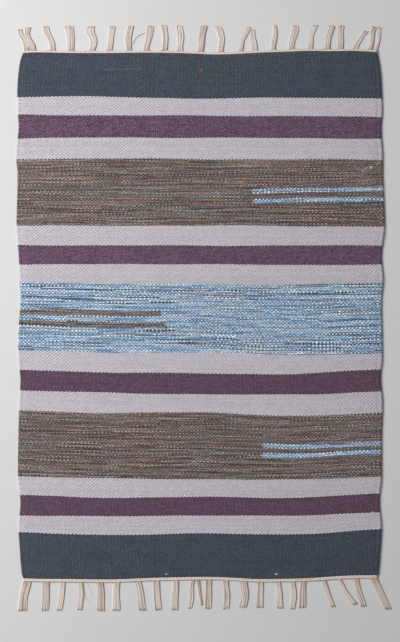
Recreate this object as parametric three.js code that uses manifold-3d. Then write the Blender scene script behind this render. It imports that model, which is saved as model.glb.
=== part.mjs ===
// A flat-woven cotton kilim rug lying face up on a floor, in millimetres, +Z up.
//
// X runs across the rug, Y along it. The underside of every piece lies on z = 0. The cloth is
// one flat solid with slightly drawn-in, wavy edges and a slightly uneven top. At each end a
// narrow heading, parted from the cloth, carries the fringe: flat-bottomed locks of warp yarn
// that lean and fan out in tassels and lie level on the floor.

import * as THREE from 'three';
import { mergeVertices } from 'three/addons/utils/BufferGeometryUtils.js';
import Module from 'manifold-3d';

const wasm = await Module();
wasm.setup();

// Driving dimensions
const CLOTH_THICKNESS = 4.0;
const CLOTH_HALF_WIDTH = 297;
const PIECE_GAP = 0.3;
const ROW_SPACING = 24;
const COLUMN_SPACING = 20;
const RIPPLE_HEIGHT = 0.35;

const HEADING_DEPTH = 3.6;
const HEADING_HEIGHT = 2.8;

const LOCK_WIDTH = 1.7;
const LOCK_HEIGHT = 1.5;
const LOCK_STEPS = 6;
const LOCK_ROOT_DEPTH = 1.4;
const LENGTH_SPREAD = 2.2;

// Each side's distance from the middle line, from the far end of the cloth to the near one.
// The plum bands draw the sides in and the grey ones beside them let them out.
const SIDES = [
  { y: 432, left: -291.5, right: 291.5 },
  { y: 424, left: -295, right: 293.5 },
  { y: 402, left: -299, right: 297 },
  { y: 372, left: -301, right: 299 },
  { y: 335, left: -300.5, right: 300.5 },
  { y: 310, left: -299, right: 298.5 },
  { y: 266, left: -303.5, right: 301 },
  { y: 232, left: -301, right: 301 },
  { y: 176, left: -302, right: 303.5 },
  { y: 140, left: -302.5, right: 304 },
  { y: 100, left: -299, right: 299 },
  { y: 60, left: -297.5, right: 302 },
  { y: 22, left: -296.5, right: 299 },
  { y: -30, left: -299.5, right: 300 },
  { y: -72, left: -299.5, right: 300.5 },
  { y: -104, left: -296, right: 297.5 },
  { y: -142, left: -298, right: 301 },
  { y: -200, left: -299.5, right: 299 },
  { y: -270, left: -300, right: 299 },
  { y: -306, left: -296, right: 295.5 },
  { y: -345, left: -299, right: 299 },
  { y: -392, left: -296.5, right: 296.5 },
  { y: -422, left: -294, right: 294 },
  { y: -432, left: -291.5, right: 291.5 },
];

// Where the cloth's two ends lie across its width: they bow by a few millimetres.
const ENDS = [
  { x: -300, far: 431.5, near: -431.5 },
  { x: -270, far: 433, near: -432.5 },
  { x: -215, far: 432, near: -433 },
  { x: -140, far: 432, near: -433.5 },
  { x: -95, far: 432.5, near: -431.5 },
  { x: -40, far: 432, near: -430 },
  { x: 0, far: 430.5, near: -429.5 },
  { x: 25, far: 429.5, near: -429.5 },
  { x: 60, far: 430.5, near: -431 },
  { x: 98, far: 432.5, near: -433 },
  { x: 140, far: 434, near: -432.5 },
  { x: 180, far: 435.5, near: -431.5 },
  { x: 216, far: 435, near: -429 },
  { x: 256, far: 435.5, near: -427 },
  { x: 300, far: 433, near: -426.5 },
];

// Height of the cloth near its edge, as a share of its thickness: a rounded outer cord,
// a shallow groove, then the full cloth.
const EDGE_PROFILE = [
  { inset: 0, share: 0.55 },
  { inset: 1.6, share: 0.95 },
  { inset: 5, share: 0.86 },
  { inset: 8, share: 1 },
];
const END_PROFILE = [
  { inset: 0, share: 0.8 },
  { inset: 3, share: 1 },
];

// Cross-section of the heading: out from the cloth, and up as a share of its height.
const HEADING_SECTION = [
  { out: 0, up: 0 },
  { out: 1, up: 0 },
  { out: 1, up: 0.6 },
  { out: 0.72, up: 1 },
  { out: 0.28, up: 1 },
  { out: 0, up: 0.75 },
];

// The tassels, left to right: where one leaves the heading, where its middle and its tip lie
// across the rug, how far the tip reaches out, how wide its locks spread, and their number.
const FAR_TASSELS = [
  { root: -286, middle: -291, tip: -295.5, reach: 39, rootSpread: 5, tipSpread: 6, locks: 3 },
  { root: -276, middle: -280, tip: -285.5, reach: 41, rootSpread: 8, tipSpread: 8.5, locks: 4 },
  { root: -242.5, middle: -247.5, tip: -253, reach: 43, rootSpread: 7.5, tipSpread: 10.5, locks: 5 },
  { root: -213, middle: -214, tip: -215, reach: 44, rootSpread: 8.5, tipSpread: 14, locks: 6 },
  { root: -179, middle: -176.5, tip: -180.5, reach: 43.5, rootSpread: 7, tipSpread: 14, locks: 5 },
  { root: -150.5, middle: -148, tip: -143.5, reach: 43.5, rootSpread: 8, tipSpread: 10.5, locks: 5 },
  { root: -117.5, middle: -117, tip: -115, reach: 44, rootSpread: 7.5, tipSpread: 10.5, locks: 5 },
  { root: -89.5, middle: -86.5, tip: -80.5, reach: 44, rootSpread: 7.5, tipSpread: 11.5, locks: 5 },
  { root: -59, middle: -58, tip: -60, reach: 45, rootSpread: 7.5, tipSpread: 10, locks: 5 },
  { root: -33, middle: -33.5, tip: -33, reach: 45, rootSpread: 8.5, tipSpread: 9.5, locks: 5 },
  { root: -0.5, middle: 2, tip: 8, reach: 46, rootSpread: 7.5, tipSpread: 12, locks: 5 },
  { root: 33.5, middle: 33, tip: 28.5, reach: 46, rootSpread: 7.5, tipSpread: 9.5, locks: 5 },
  { root: 65, middle: 71.5, tip: 77.5, reach: 44, rootSpread: 6.5, tipSpread: 7, locks: 4 },
  { root: 89.5, middle: 88.5, tip: 88, reach: 38, rootSpread: 8, tipSpread: 6.5, locks: 4 },
  { root: 120, middle: 121, tip: 121.5, reach: 44, rootSpread: 6.5, tipSpread: 6, locks: 4 },
  { root: 149.5, middle: 152, tip: 156, reach: 42.5, rootSpread: 7, tipSpread: 10.5, locks: 5 },
  { root: 180, middle: 184.5, tip: 191, reach: 42, rootSpread: 7, tipSpread: 9, locks: 5 },
  { root: 208.5, middle: 211.5, tip: 217, reach: 41.5, rootSpread: 7, tipSpread: 10, locks: 5 },
  { root: 230, middle: 231, tip: 232.5, reach: 42, rootSpread: 7, tipSpread: 10, locks: 5 },
  { root: 255, middle: 260, tip: 276, reach: 32, rootSpread: 6.5, tipSpread: 6.5, locks: 4 },
  { root: 279, middle: 283, tip: 286.5, reach: 41, rootSpread: 6.5, tipSpread: 7.5, locks: 4 },
  { root: 289.5, middle: 292.5, tip: 296, reach: 41, rootSpread: 4, tipSpread: 5, locks: 3 },
];
const NEAR_TASSELS = [
  { root: -284.5, middle: -290, tip: -295, reach: 53, rootSpread: 12, tipSpread: 15, locks: 6 },
  { root: -253.5, middle: -254, tip: -256, reach: 52, rootSpread: 9, tipSpread: 12, locks: 5 },
  { root: -226, middle: -228, tip: -232, reach: 51.5, rootSpread: 7, tipSpread: 8.5, locks: 4 },
  { root: -197.5, middle: -195.5, tip: -197.5, reach: 50.5, rootSpread: 6.5, tipSpread: 8, locks: 4 },
  { root: -165.5, middle: -163, tip: -163.5, reach: 51.5, rootSpread: 9, tipSpread: 12, locks: 5 },
  { root: -136.5, middle: -138.5, tip: -139.5, reach: 51, rootSpread: 8, tipSpread: 12, locks: 5 },
  { root: -103, middle: -98, tip: -93.5, reach: 52, rootSpread: 7.5, tipSpread: 10.5, locks: 5 },
  { root: -72.5, middle: -71, tip: -69, reach: 53, rootSpread: 9, tipSpread: 11.5, locks: 5 },
  { root: -40, middle: -41, tip: -42, reach: 53.5, rootSpread: 7.5, tipSpread: 11.5, locks: 5 },
  { root: -11.5, middle: -15, tip: -16, reach: 52, rootSpread: 5, tipSpread: 6, locks: 3 },
  { root: -4.5, middle: -1, tip: 3.5, reach: 46, rootSpread: 4.5, tipSpread: 5, locks: 3 },
  { root: 14, middle: 13.5, tip: 13, reach: 52, rootSpread: 8.5, tipSpread: 9, locks: 5 },
  { root: 42, middle: 43, tip: 43.5, reach: 51.5, rootSpread: 8, tipSpread: 10, locks: 5 },
  { root: 71.5, middle: 72.5, tip: 71.5, reach: 48, rootSpread: 10.5, tipSpread: 12.5, locks: 6 },
  { root: 98.5, middle: 98.5, tip: 99, reach: 46.5, rootSpread: 9, tipSpread: 10.5, locks: 5 },
  { root: 126.5, middle: 130, tip: 132, reach: 48, rootSpread: 7.5, tipSpread: 9.5, locks: 5 },
  { root: 151, middle: 153.5, tip: 151.5, reach: 50, rootSpread: 7, tipSpread: 8, locks: 4 },
  { root: 170, middle: 168.5, tip: 167, reach: 48, rootSpread: 7.5, tipSpread: 11.5, locks: 5 },
  { root: 201.5, middle: 209.5, tip: 219.5, reach: 48, rootSpread: 6.5, tipSpread: 6.5, locks: 4 },
  { root: 227, middle: 239.5, tip: 256, reach: 46, rootSpread: 5, tipSpread: 5.5, locks: 3 },
  { root: 256, middle: 260.5, tip: 268.5, reach: 51, rootSpread: 7, tipSpread: 8, locks: 4 },
  { root: 284, middle: 296, tip: 310, reach: 56, rootSpread: 12.5, tipSpread: 11, locks: 6 },
];

// Value of one column of a table at a place between its rows, on a smooth curve through them.
function eased(rows, key, column, place) {
  const rising = rows[rows.length - 1][key] > rows[0][key];
  const last = rows.length - 2;
  let i = rows.findIndex((row) => (rising ? row[key] > place : row[key] < place)) - 1;
  i = i < -1 ? last : Math.min(Math.max(i, 0), last);
  const slope = (a, b) => (rows[b][column] - rows[a][column]) / (rows[b][key] - rows[a][key]);
  const step = rows[i + 1][key] - rows[i][key];
  const startSlope = slope(Math.max(i - 1, 0), i + 1) * step;
  const endSlope = slope(i, Math.min(i + 2, last + 1)) * step;
  const t = THREE.MathUtils.clamp((place - rows[i][key]) / step, 0, 1);
  const rise = rows[i + 1][column] - rows[i][column];
  return rows[i][column] + startSlope * t
    + (3 * rise - 2 * startSlope - endSlope) * t * t
    + (startSlope + endSlope - 2 * rise) * t * t * t;
}

const sideAt = (side, y) => eased(SIDES, 'y', side, y);
const endAt = (end, x) => eased(ENDS, 'x', end, x);

// A share of the thickness at an inset from an edge, straight between the profile's rows.
function profileShare(profile, inset) {
  const next = profile.findIndex((row) => row.inset > inset);
  if (next < 0) return profile[profile.length - 1].share;
  const [a, b] = [profile[next - 1], profile[next]];
  return THREE.MathUtils.mapLinear(inset, a.inset, b.inset, a.share, b.share);
}

// Distances from 0 to a length: the profile's insets at both ends and even steps between.
function stations(length, profile, spacing) {
  const insets = profile.map((row) => row.inset);
  const inner = insets[insets.length - 1];
  const count = Math.round((length - 2 * inner) / spacing);
  const even = Array.from({ length: count - 1 }, (_, i) => inner + ((i + 1) * (length - 2 * inner)) / count);
  return [...insets, ...even, ...insets.map((inset) => length - inset).reverse()];
}

// A low, slow unevenness of the cloth as it lies on the floor.
function ripple(x, y) {
  return RIPPLE_HEIGHT * (Math.sin(x / 61 + 0.8) * Math.sin(y / 83) + Math.sin(y / 37 + x / 190) * 0.6);
}

function geometryFrom(points, faces) {
  const geometry = new THREE.BufferGeometry();
  geometry.setAttribute('position', new THREE.Float32BufferAttribute(points.flat(), 3));
  geometry.setIndex(faces.flat());
  geometry.computeVertexNormals();
  return geometry;
}

// The cloth's grid, measured from its left near corner before its edges are drawn in.
const WIDTH = 2 * CLOTH_HALF_WIDTH;
const LENGTH = 2 * SIDES[0].y;
const ACROSS = stations(WIDTH, EDGE_PROFILE, COLUMN_SPACING);
const ALONG = stations(LENGTH, END_PROFILE, ROW_SPACING);

// Where a point of that grid lies once the sides and ends have their real outline.
function clothPoint(a, b) {
  const nominal = a - CLOTH_HALF_WIDTH;
  const y = THREE.MathUtils.lerp(endAt('near', nominal), endAt('far', nominal), b / LENGTH);
  const x = THREE.MathUtils.lerp(sideAt('left', y), sideAt('right', y), a / WIDTH);
  return [x, y];
}

// The cloth: a grid of points for its top, one flat face for its underside, and walls between.
function clothGeometry() {
  const points = [];
  for (const b of ALONG) {
    for (const a of ACROSS) {
      const [x, y] = clothPoint(a, b);
      const share = Math.min(
        profileShare(EDGE_PROFILE, Math.min(a, WIDTH - a)),
        profileShare(END_PROFILE, Math.min(b, LENGTH - b)),
      );
      const lift = share === 1 ? ripple(x, y) : 0;
      points.push([x, y, CLOTH_THICKNESS * share + lift]);
    }
  }
  const columns = ACROSS.length;
  const rows = ALONG.length;
  const at = (column, row) => row * columns + column;
  const faces = [];
  for (let row = 0; row < rows - 1; row += 1) {
    for (let column = 0; column < columns - 1; column += 1) {
      const corners = [at(column, row), at(column + 1, row), at(column + 1, row + 1), at(column, row + 1)];
      faces.push([corners[0], corners[1], corners[2]], [corners[0], corners[2], corners[3]]);
    }
  }
  const rim = [];
  for (let column = 0; column < columns - 1; column += 1) rim.push(at(column, 0));
  for (let row = 0; row < rows - 1; row += 1) rim.push(at(columns - 1, row));
  for (let column = columns - 1; column > 0; column -= 1) rim.push(at(column, rows - 1));
  for (let row = rows - 1; row > 0; row -= 1) rim.push(at(0, row));
  const base = points.length;
  rim.forEach((top) => points.push([points[top][0], points[top][1], 0]));
  rim.forEach((top, i) => {
    const next = (i + 1) % rim.length;
    faces.push([base + i, base + next, rim[next]], [base + i, rim[next], top]);
  });
  const outline = rim.map((top) => new THREE.Vector2(points[top][0], points[top][1]));
  THREE.ShapeUtils.triangulateShape(outline, []).forEach(([a, b, c]) => {
    faces.push([base + c, base + b, base + a]);
  });
  return geometryFrom(points, faces);
}

// A closed body through rings of points, each seen anticlockwise from ahead, with flat caps.
function loft(rings) {
  const sides = rings[0].length;
  const points = rings.flat();
  const faces = [];
  for (let ring = 0; ring < rings.length - 1; ring += 1) {
    for (let side = 0; side < sides; side += 1) {
      const a = ring * sides + side;
      const b = ring * sides + ((side + 1) % sides);
      faces.push([a, b, b + sides], [a, b + sides, a + sides]);
    }
  }
  const lastRing = (rings.length - 1) * sides;
  for (let side = 1; side < sides - 1; side += 1) {
    faces.push([0, side + 1, side], [lastRing, lastRing + side, lastRing + side + 1]);
  }
  return geometryFrom(points, faces);
}

// The heading along one end of the cloth. outward is 1 at the far end and -1 at the near one.
function headingGeometry(outward) {
  const rings = ACROSS.map((a) => {
    const [x, edge] = clothPoint(a, outward > 0 ? LENGTH : 0);
    return HEADING_SECTION.map(({ out, up }) => (
      [x, edge + outward * (PIECE_GAP + out * HEADING_DEPTH), up * HEADING_HEIGHT]
    ));
  });
  return loft(outward > 0 ? rings : rings.reverse());
}

// A repeatable number from -1 to 1 that differs from one lock to the next.
function uneven(tassel, lock) {
  const value = Math.sin(tassel * 12.99 + lock * 78.23) * 437.58;
  return 2 * (value - Math.floor(value)) - 1;
}

// One lock: a flat-bottomed bar with three sides along a curve beside its tassel's middle line.
// At the root it is set off along the heading, and further out squarely to the line.
function lockGeometry(middleLine, offsets, widthShare, reachShare, outward) {
  const rings = [];
  for (let step = 0; step <= LOCK_STEPS; step += 1) {
    const t = step / LOCK_STEPS;
    const place = middleLine.getPoint(t * reachShare);
    const ahead = middleLine.getTangent(t * reachShare);
    const alongHeading = new THREE.Vector2(-outward, 0);
    const sideways = alongHeading.lerp(new THREE.Vector2(-ahead.y, ahead.x), Math.min(1, 2 * t)).normalize();
    const offset = THREE.MathUtils.lerp(offsets.root, offsets.tip, t);
    const taper = Math.sin(Math.PI * THREE.MathUtils.lerp(0.3, 0.9, t));
    const half = (LOCK_WIDTH / 2) * widthShare * taper;
    const corner = (shift, z) => [place.x + sideways.x * shift, place.y + sideways.y * shift, z];
    rings.push([corner(offset - half, 0), corner(offset + half, 0), corner(offset, LOCK_HEIGHT * taper)]);
  }
  return loft(rings);
}

// All the locks of one tassel, side by side and apart.
function tasselGeometries(row, index, outward) {
  const edge = endAt(outward > 0 ? 'far' : 'near', row.root) + outward * (PIECE_GAP + LOCK_ROOT_DEPTH);
  const middleLine = new THREE.SplineCurve([
    new THREE.Vector2(row.root, edge),
    new THREE.Vector2(row.middle, edge + (outward * row.reach) / 2),
    new THREE.Vector2(row.tip, edge + outward * row.reach),
  ]);
  const narrow = Math.min(1, row.rootSpread / (row.locks - 1) / (LOCK_WIDTH + PIECE_GAP));
  return Array.from({ length: row.locks }, (_, lock) => {
    const share = lock / (row.locks - 1) - 0.5;
    const offsets = { root: share * row.rootSpread, tip: share * row.tipSpread };
    const reachShare = 1 - (LENGTH_SPREAD / row.reach) * (0.5 + 0.5 * uneven(index, lock));
    return lockGeometry(middleLine, offsets, narrow, reachShare, outward);
  });
}

function toSolid(geometry) {
  geometry.deleteAttribute('normal');
  const merged = mergeVertices(geometry, 1e-4);
  return new wasm.Manifold(new wasm.Mesh({
    numProp: 3,
    vertProperties: Float32Array.from(merged.attributes.position.array),
    triVerts: Uint32Array.from(merged.index.array),
  }));
}

function toGeometry(solid) {
  const { vertProperties, triVerts } = solid.getMesh();
  const geometry = new THREE.BufferGeometry();
  geometry.setAttribute('position', new THREE.BufferAttribute(Float32Array.from(vertProperties), 3));
  geometry.setIndex(new THREE.BufferAttribute(Uint32Array.from(triVerts), 1));
  geometry.computeVertexNormals();
  return geometry;
}

// A heading with all its tassels' locks fused into it at their roots.
function fringeGeometry(tassels, outward) {
  const locks = tassels.flatMap((row, index) => tasselGeometries(row, index, outward));
  const start = toSolid(headingGeometry(outward));
  return toGeometry(locks.reduce((whole, lock) => whole.add(toSolid(lock)), start));
}

const cottonCloth = new THREE.MeshStandardMaterial({ color: 0x85807f, roughness: 0.95, metalness: 0 });
const fringeYarn = new THREE.MeshStandardMaterial({ color: 0xcfc2b4, roughness: 0.92, metalness: 0 });

function piece(name, geometry, material) {
  const mesh = new THREE.Mesh(geometry, material);
  mesh.name = name;
  return mesh;
}

const rug = new THREE.Group();
rug.add(piece('rug', clothGeometry(), cottonCloth));
rug.add(piece('fringe_top', fringeGeometry(FAR_TASSELS, 1), fringeYarn));
rug.add(piece('fringe_bottom', fringeGeometry(NEAR_TASSELS, -1), fringeYarn));

// The origin goes to the middle of the whole rug's outline, on the floor.
const middle = new THREE.Box3().setFromObject(rug).getCenter(new THREE.Vector3());
rug.position.set(-middle.x, -middle.y, 0);
rug.updateMatrixWorld(true);

export default rug;
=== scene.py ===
"""A flat-woven cotton kilim rug, lying face up on a pale floor and seen from straight above.

Tables are in millimetres, measured from the middle of the cloth: x across the rug, y along it
with the far end at the top of the picture, z up from the floor. Picks, the rows of weft, are
counted from the far end. Every shade is a plain sRGB colour.
"""
from collections import namedtuple

import bpy
import numpy as np
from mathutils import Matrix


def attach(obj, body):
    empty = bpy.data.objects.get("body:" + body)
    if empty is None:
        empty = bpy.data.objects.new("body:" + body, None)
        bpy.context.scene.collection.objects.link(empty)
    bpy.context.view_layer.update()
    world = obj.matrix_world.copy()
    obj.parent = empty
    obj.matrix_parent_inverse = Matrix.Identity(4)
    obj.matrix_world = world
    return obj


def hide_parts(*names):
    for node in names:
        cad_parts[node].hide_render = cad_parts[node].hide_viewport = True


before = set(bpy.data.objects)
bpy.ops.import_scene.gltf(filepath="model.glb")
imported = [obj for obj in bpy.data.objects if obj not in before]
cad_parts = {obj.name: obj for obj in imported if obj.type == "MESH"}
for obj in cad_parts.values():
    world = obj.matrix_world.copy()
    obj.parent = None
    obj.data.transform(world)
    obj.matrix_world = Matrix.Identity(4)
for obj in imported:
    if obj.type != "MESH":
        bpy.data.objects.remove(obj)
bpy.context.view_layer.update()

random = np.random.default_rng(41)

MM = 0.001
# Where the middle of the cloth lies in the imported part
MIDDLE = np.array([-5.70, 3.83, 0.0])

# The photograph's frame: its height in pixels and where its middle lies, and the lens used here
PHOTO_HEIGHT = 642
MM_PER_PIXEL = 1.644
PHOTO_CENTRE_Y = -8.6
LENS = 85

# The light, in metres and watts: a wide soft lamp at the upper left and an even pale surround
LAMP_SIZE = 1.6
LAMP_POWER = 71
LAMP_COLOUR = (1.0, 0.985, 0.965)
LAMP_PLACE = (-1.95, 0.66, 1.75)
SURROUND_COLOUR = (0.94, 0.96, 1.0, 1)
SURROUND_STRENGTH = 0.20

# The floor, in metres, with its colour as linear light, and the evenness and grain of its paint
FLOOR_REACH = 9.0
FLOOR_DROP = 0.0002
FLOOR_COLOUR = (0.80, 0.80, 0.81)
FLOOR_TONE = 0.015
FLOOR_GRAIN = 900
FLOOR_RELIEF = 0.00002
FLOOR_ROUGHNESS = 0.75

# The cloth. WARPS counts the steps from warp to warp between its side edges.
CLOTH_HALF_WIDTH = 297
CLOTH_THICKNESS = 4.0
WARPS = 196

# How uneven the weave is: the steps between warps, where grooves cross, how high crowns stand, how
# far grooves swing and how deep they are, and a pick's tone and a float's hue. A float is the weft
# that shows between two dips under the warp. The last is painted light: how light a float is painted
# on its crown, before painted shade darkens its grooves and ends.
SPACING_UNEVENNESS = 0.10
LATTICE_JITTER = 0.12
CROWN_UNEVENNESS = 0.08
ZIGZAG_SPREAD = (0.90, 1.10)
GROOVE_SPREAD = (0.85, 1.1)
PICK_UNEVENNESS = 0.010
HUE_UNEVENNESS = 0.007
PAINTED_CROWN_LIGHT = 1.08

# How far picks wander along the rug, over how many from either end this sets in, and its waves:
# the millimetres across the rug for each radian, the radians for each pick, phase and share
LINE_DRIFT = 0.45
DRIFT_START = 6
Drift = namedtuple("Drift", "across by_pick phase share")
DRIFTS = [Drift(47, 0.21, 0, 1), Drift(23, -0.13, 1.7, 0.6)]

# How the cloth lies: swells and lower slanting waves, with the millimetres across and along the
# rug for each radian. They set in over a few warps from the sides and picks from the ends.
RIPPLE_HEIGHT = 0.35
SWELL_ACROSS = 61
SWELL_ALONG = 83
SWELL_PHASE = 0.8
SLANT_ACROSS = 190
SLANT_ALONG = 37
SLANT_SHARE = 0.6
CALM_WARPS = (1, 4)
CALM_PICKS = (0, 3.07)

# The ends of the cloth are rounded: over how many picks, and how thick their edge is
END_PICKS = (0, 1.15)
END_THICKNESS = (0.8, 1)

# The fringe is strands of warp. A strand is flattened, it tapers at places along it, which are
# shares of its length, it strays by its tip, and TWIST_PITCH is one turn of its two plies.
STRANDS_PER_WARP = 2
WARP_INSET = 5
STRAND_RADIUS = 0.82
STRAND_FLATNESS = 0.5
STRAND_SIDES = 5
STRAND_STEPS = 20
STRAND_PLACES = (0, 0.10, 0.92, 1)
STRAND_TAPER = (0.9, 1, 0.95, 0.5)
STRAND_WANDER = 0.45
TWIST_PITCH = 7.0
SPLINE_STEPS = 8

# A strand's way out of the cloth and through the heading: the share of the way sideways to its
# tassel, and of the way out to its place in the heading, how much further out it goes, its height,
# and what the upper of two layers adds. The strands that aren't in a layer lie midway.
Exit = namedtuple("Exit", "sideways heading out height by_layer")
EXITS = [
    Exit(0, 0, -1.5, 1.8, 0), Exit(0, 0, 1.2, 1.7, 0), Exit(0.35, 1, -0.6, 1.6, 0.3),
    Exit(0.86, 1, 0, 1.4, 0.5),
]
HEADING_SPREAD = (-0.6, 0.8)
LAYER_RISE = 0.35
LAYERED_SHARE = 0.8

# A tassel leaves the heading a little way out and bulges there. Its strands part into locks, fewer
# than its solid has, which soon sway and lie over each other. TASSEL_BENDS is the sway's radians
# down the tassel. The strands stop a little short of its tip.
ROOT_GAP = 1.7
ROOT_BULK = 0.9
TASSEL_SHARES = (0.08, 0.20, 0.34, 0.50, 0.66, 0.83, 1.0)
LOCK_SHARE = 0.6
LOCK_TIGHTNESS = 0.95
LOCK_UNEVENNESS = 0.25
LOCK_RISE = 0.2
RISE_RATE = 3
SWAY_RATE = 2
FAR_SWAY = (0.6, 3.0)
NEAR_SWAY = (0.2, 1.5)
TASSEL_BENDS = (3.5, 7.5)
TIP_UNEVENNESS = 2.34

# The yarn twined along the cloth's ends: how far each of the two winds out and up
TWINE_HALF_LENGTH = 291
TWINE_STEPS_PER_WARP = 2
TWINE_SWING = 0.3
TWINE_RISE = 0.5

Side = namedtuple("Side", "y left right")
SIDES = [Side(*row) for row in (
    (432, -291.5, 291.5), (424, -295, 293.5), (402, -299, 297), (372, -301, 299),
    (335, -300.5, 300.5), (310, -299, 298.5), (266, -303.5, 301), (232, -301, 301),
    (176, -302, 303.5), (140, -302.5, 304), (100, -299, 299), (60, -297.5, 302), (22, -296.5, 299),
    (-30, -299.5, 300), (-72, -299.5, 300.5), (-104, -296, 297.5), (-142, -298, 301),
    (-200, -299.5, 299), (-270, -300, 299), (-306, -296, 295.5), (-345, -299, 299),
    (-392, -296.5, 296.5), (-422, -294, 294), (-432, -291.5, 291.5),
)]
End = namedtuple("End", "x far near")
ENDS = [End(*row) for row in (
    (-300, 431.5, -431.5), (-270, 433, -432.5), (-215, 432, -433), (-140, 432, -433.5),
    (-95, 432.5, -431.5), (-40, 432, -430), (0, 430.5, -429.5), (25, 429.5, -429.5),
    (60, 430.5, -431), (98, 432.5, -433), (140, 434, -432.5), (180, 435.5, -431.5),
    (216, 435, -429), (256, 435.5, -427), (300, 433, -426.5),
)]

# The bands from the far end: their shade, their picks, where their near edge lies at five places
# across the rug, and how far their middle picks bow towards the far end there.
STATIONS = (-290, -155, 0, 155, 290)
Band = namedtuple("Band", "shade picks near_edge bow", defaults=((0, 0, 0, 0, 0),))
BANDS = [Band(*row) for row in (
    ("slate", 31, (359.5, 360.5, 357, 359, 357.5)),
    ("grey", 12, (331, 329.5, 329, 328.5, 326.5)),
    ("plum", 19, (291, 293.5, 292.5, 292.5, 291)),
    ("grey", 14, (257.5, 258.5, 257.5, 257, 256.5)),
    ("brown", 47, (148, 148, 148, 147.5, 146.5), (0, 0, 0, 1.6, 4.3)),
    ("grey", 13, (116.5, 115.5, 115.5, 115.5, 115.5)),
    ("plum", 18, (83.5, 85.5, 84.5, 84, 84)),
    ("grey", 12, (55.5, 52.5, 51.5, 50.5, 53.5)),
    ("blue", 43, (-57, -60.5, -60.5, -65, -61.5)),
    ("grey", 12, (-89, -93, -95, -95.5, -88.5)),
    ("dull_plum", 16, (-123, -126.5, -129, -129.5, -124.5)),
    ("grey", 13, (-156, -159.5, -159, -164.5, -160.5)),
    ("brown", 43, (-264, -267.5, -268.5, -269.5, -264.5)),
    ("grey", 13, (-295, -299, -298, -299, -292.5)),
    ("dull_plum", 17, (-328, -330, -328, -329, -323)),
    ("grey", 12, (-356.5, -360, -358, -359, -351.5)),
    ("slate", 31, None),
)]

# Short stripes woven into a melange band: its number, their first pick in it and how many, their
# shade, and where they start and stop
Inlay = namedtuple("Inlay", "band first picks shade start stop")
INLAYS = [Inlay(*row) for row in (
    (5, 21, 3, "blue", 85, 310), (5, 28, 3, "blue", 85, 310), (9, 17, 3, "brown", -310, -66),
    (9, 24, 3, "brown", -310, -60), (13, 19, 3, "blue", 104, 310), (13, 25, 3, "blue", 103, 310),
)]

# How each shade of cloth looks. zigzag is how far the grooves between floats swing, as a share of a
# pick, so that the floats interlock, and groove how deep they are. shadow is how much painted shade
# darkens the yarn in them, and dip how much more painted shade darkens a float's two ends. lean is
# how far a float leans, and strands how many lie side by side in a yarn. runs, speckle and grain are
# how uneven its tone is along the pick, from float to float, and from patch to patch of this width
# and length. rib and pairs are painted shade in the valleys from warp to warp and from pair to pair
# of them. mottle is how uneven its dye is, and hue its hue.
Look = namedtuple(
    "Look", "zigzag groove shadow dip lean strands runs speckle grain patch rib pairs mottle hue")
LOOKS = {
    "slate": Look(0.28, 0.30, 0.10, 0.18, 0, 4, 0.06, 0.12, 0.42, (1.2, 2.4), 0.08, 0.08, 0.18, 0.12),
    "grey": Look(0.28, 0.90, 0.16, 0.08, 0.12, 4, 0.03, 0.10, 0.12, (1.9, 1.2), 0, 0, 0.05, 0.01),
    "plum": Look(0.30, 0.75, 0.45, 0.75, 0, 4, 0.05, 0.40, 0.38, (1.9, 1.2), 0.19, 0, 0.16, 0.05),
    "dull_plum": Look(0.30, 0.60, 0.28, 0.42, 0, 4, 0.06, 0.30, 0.40, (1.4, 1.8), 0.19, 0.05, 0.16, 0.05),
    "brown": Look(0.38, 0.75, 0.45, 0.50, 0, 5, 0, 0.30, 0.75, (1.9, 1.2), 0, 0, 0.04, 0.04),
    "blue": Look(0.38, 0.75, 0.50, 0.62, 0, 4, 0, 0.30, 0.55, (1.9, 1.2), 0, 0, 0.04, 0.03),
}

# Yarn shades: the plain ones, and those that the strands of each melange take, darkest first
PLAIN = {
    "slate": (70, 79, 91), "grey": (209, 204, 213),
    "plum": (138, 101, 130), "dull_plum": (113, 81, 104),
}
MELANGE = {
    "brown": [
        (68, 60, 61), (106, 78, 66), (86, 91, 99), (122, 97, 89), (104, 110, 99), (146, 101, 82),
        (136, 148, 150), (172, 140, 129), (168, 142, 128), (160, 150, 160), (184, 168, 159),
        (198, 190, 187),
    ],
    "blue": [
        (54, 60, 74), (86, 102, 130), (110, 140, 178), (150, 176, 210), (148, 190, 230),
        (158, 204, 238), (174, 216, 250), (206, 222, 250), (190, 228, 255), (216, 232, 255),
        (232, 246, 255), (248, 252, 255),
    ],
}
# The tone by which a melange's shades are lightened, where 255 leaves them as they are
MELANGE_TONE = {"brown": 262, "blue": 285}

# A strand keeps a shade for a run, whose length is uneven, and RUN_STARTS sets the strands' runs
# apart. In every second pick of a melange, OPPOSED_SHARE of the strands take the opposite shades
# of those a pick before. Floats are numbered, for their speckles.
RUN_LENGTH = 62
RUN_WOBBLE = 1.6
WOBBLE_SCALE = 1.3
RUN_STARTS = 97
OPPOSED_SHARE = 0.45
OPPOSED_SEED = 7
FLOAT_NUMBERS = 256

# How far the edges of a yarn stay from whole numbers of picks, which tell the yarns apart
PICK_MARGIN = 0.02

# The yarns' finish: how much dye a plain yarn keeps in its painted glints, gloss, fuzz, and, for weft
# and warp, roughness and how deep the plies and fibres are, in metres
GLINT_DYE = 0.55
GLOSS = 0.25
FUZZ = 0.2
FUZZ_ROUGHNESS = 0.6
WEFT_ROUGHNESS = 0.92
WEFT_RELIEF = 0.00022
WARP_ROUGHNESS = 0.88
WARP_RELIEF = 0.00012

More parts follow.
